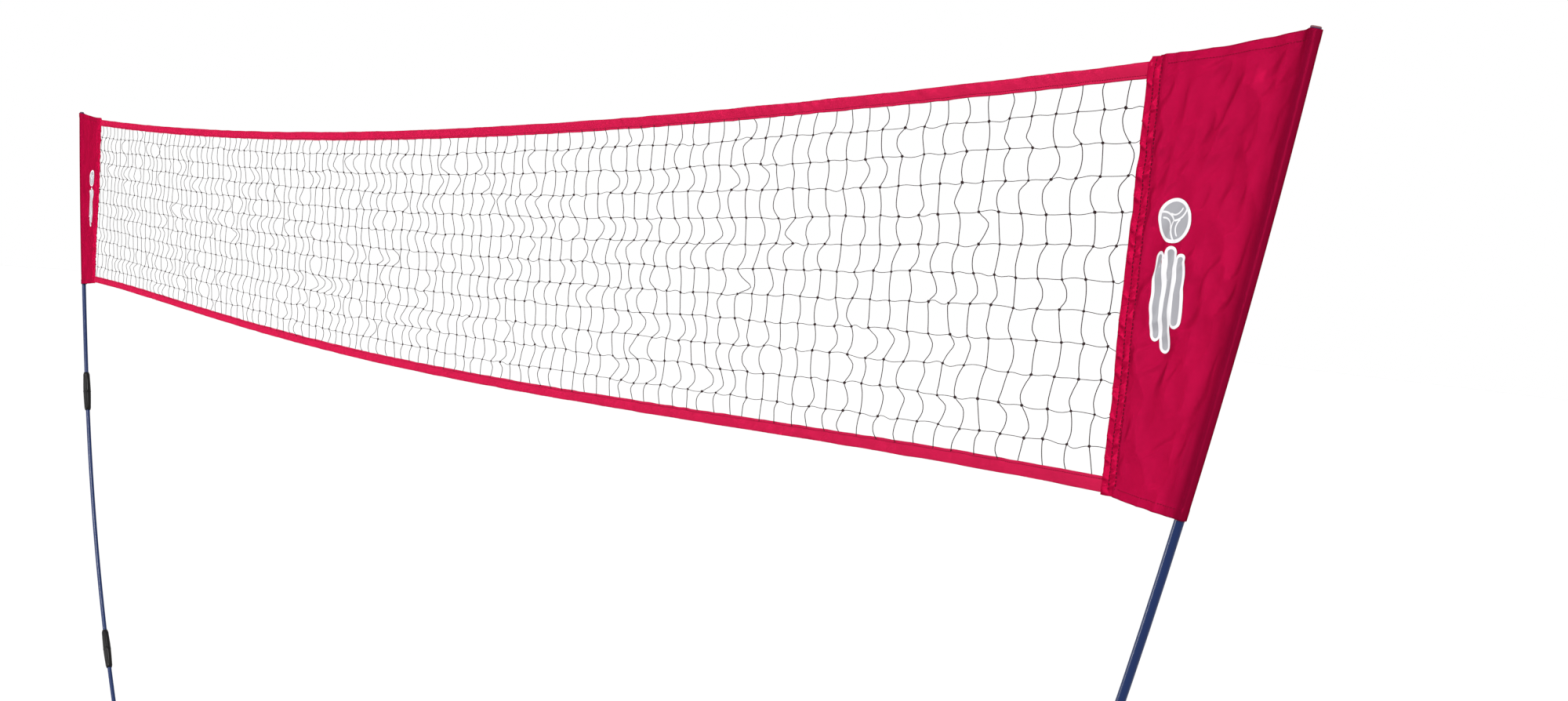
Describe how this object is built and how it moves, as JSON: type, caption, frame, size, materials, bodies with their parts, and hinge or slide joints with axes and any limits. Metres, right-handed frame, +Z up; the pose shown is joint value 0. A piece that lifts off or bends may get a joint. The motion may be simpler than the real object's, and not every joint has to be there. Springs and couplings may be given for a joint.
{
  "type": "free-standing volleyball net",
  "caption": "Volleyball net with red cloth tapes and tapered end panels, held by two bowed sectional poles on a folding ground base with swing-out legs.",
  "frame": {"origin": "on the ground under the middle of the net", "axes": "+X along the net, +Y through the net, +Z up"},
  "size_m": [5.3412, 0.944, 2.5249],
  "materials": {
    "twine": "fine twisted twine, dull",
    "tape_cloth": "satin polyester, folded and stitched",
    "binding_cloth": "satin polyester, gathered and stitched",
    "panel_cloth": "satin polyester, thin",
    "pole_gloss": "glossy gelcoat over fibreglass",
    "ferrule_black": "moulded, satin",
    "cap_grey": "moulded, matte",
    "joint_steel": "drawn",
    "elastic": "braided elastic",
    "base_paint": "glossy powder coat",
    "hub_plastic": "glass-filled, fine grained",
    "foot_rubber": "matte",
    "fastener_zinc": "zinc plated",
    "spring_steel": "blued strip"
  },
  "bodies": {
    "frame": {"net_rows": "twine", "net_columns": "twine", "top_tape": "tape_cloth", "bottom_tape": "tape_cloth", "cord_stops": "joint_steel", "centre_bar": "base_paint", "centre_foot": "foot_rubber", "pivot_bolts": "fastener_zinc", "pivot_nuts": "fastener_zinc", "left_binding": "binding_cloth", "left_panel": "panel_cloth", "left_pole_top": "pole_gloss", "left_pole_middle": "pole_gloss", "left_pole_bottom": "pole_gloss", "left_tip_cap": "cap_grey", "left_upper_ferrule": "ferrule_black", "left_lower_ferrule": "ferrule_black", "left_upper_joint_rod": "joint_steel", "left_lower_joint_rod": "joint_steel", "left_shock_cord": "elastic", "left_hub": "hub_plastic", "left_hub_pad": "foot_rubber", "left_pole_socket": "base_paint", "left_bar": "base_paint", "left_spigot": "joint_steel", "left_bar_spring": "spring_steel", "left_hub_spring": "spring_steel", "right_binding": "binding_cloth", "right_panel": "panel_cloth", "right_pole_top": "pole_gloss", "right_pole_middle": "pole_gloss", "right_pole_bottom": "pole_gloss", "right_tip_cap": "cap_grey", "right_upper_ferrule": "ferrule_black", "right_lower_ferrule": "ferrule_black", "right_upper_joint_rod": "joint_steel", "right_lower_joint_rod": "joint_steel", "right_shock_cord": "elastic", "right_hub": "hub_plastic", "right_hub_pad": "foot_rubber", "right_pole_socket": "base_paint", "right_bar": "base_paint", "right_spigot": "joint_steel", "right_bar_spring": "spring_steel", "right_hub_spring": "spring_steel"},
    "left_front_leg": {"left_front_leg": "base_paint", "left_front_boot": "foot_rubber"},
    "left_back_leg": {"left_back_leg": "base_paint", "left_back_boot": "foot_rubber"},
    "left_bar_button": {"left_bar_button": "fastener_zinc"},
    "left_hub_button": {"left_hub_button": "fastener_zinc"},
    "right_front_leg": {"right_front_leg": "base_paint", "right_front_boot": "foot_rubber"},
    "right_back_leg": {"right_back_leg": "base_paint", "right_back_boot": "foot_rubber"},
    "right_bar_button": {"right_bar_button": "fastener_zinc"},
    "right_hub_button": {"right_hub_button": "fastener_zinc"}
  },
  "joints": [
    {"name": "left_front_leg_fold", "type": "hinge", "parent": "frame", "child": "left_front_leg", "pos_m": [-1.5432, -0.038, 0.028], "axis": [0, 0, 1], "range_deg": [0, 90]},
    {"name": "left_back_leg_fold", "type": "hinge", "parent": "frame", "child": "left_back_leg", "pos_m": [-1.5432, 0.038, 0.028], "axis": [0, 0, -1], "range_deg": [0, 90]},
    {"name": "left_bar_button_press", "type": "slide", "parent": "frame", "child": "left_bar_button", "axis": [0, 0, -1], "range_m": [0, 0.0046], "stiffness_N_per_m": 1500, "springref_m": -0.003, "deforming": ["left_bar_spring"]},
    {"name": "left_hub_button_press", "type": "slide", "parent": "frame", "child": "left_hub_button", "axis": [0, 0, -1], "range_m": [0, 0.0075], "stiffness_N_per_m": 1500, "springref_m": -0.003, "deforming": ["left_hub_spring"]},
    {"name": "right_front_leg_fold", "type": "hinge", "parent": "frame", "child": "right_front_leg", "pos_m": [1.5432, -0.038, 0.028], "axis": [0, 0, -1], "range_deg": [0, 90]},
    {"name": "right_back_leg_fold", "type": "hinge", "parent": "frame", "child": "right_back_leg", "pos_m": [1.5432, 0.038, 0.028], "axis": [0, 0, 1], "range_deg": [0, 90]},
    {"name": "right_bar_button_press", "type": "slide", "parent": "frame", "child": "right_bar_button", "axis": [0, 0, -1], "range_m": [0, 0.0046], "stiffness_N_per_m": 1500, "springref_m": -0.003, "deforming": ["right_bar_spring"]},
    {"name": "right_hub_button_press", "type": "slide", "parent": "frame", "child": "right_hub_button", "axis": [0, 0, -1], "range_m": [0, 0.0075], "stiffness_N_per_m": 1500, "springref_m": -0.003, "deforming": ["right_hub_spring"]}
  ]
}
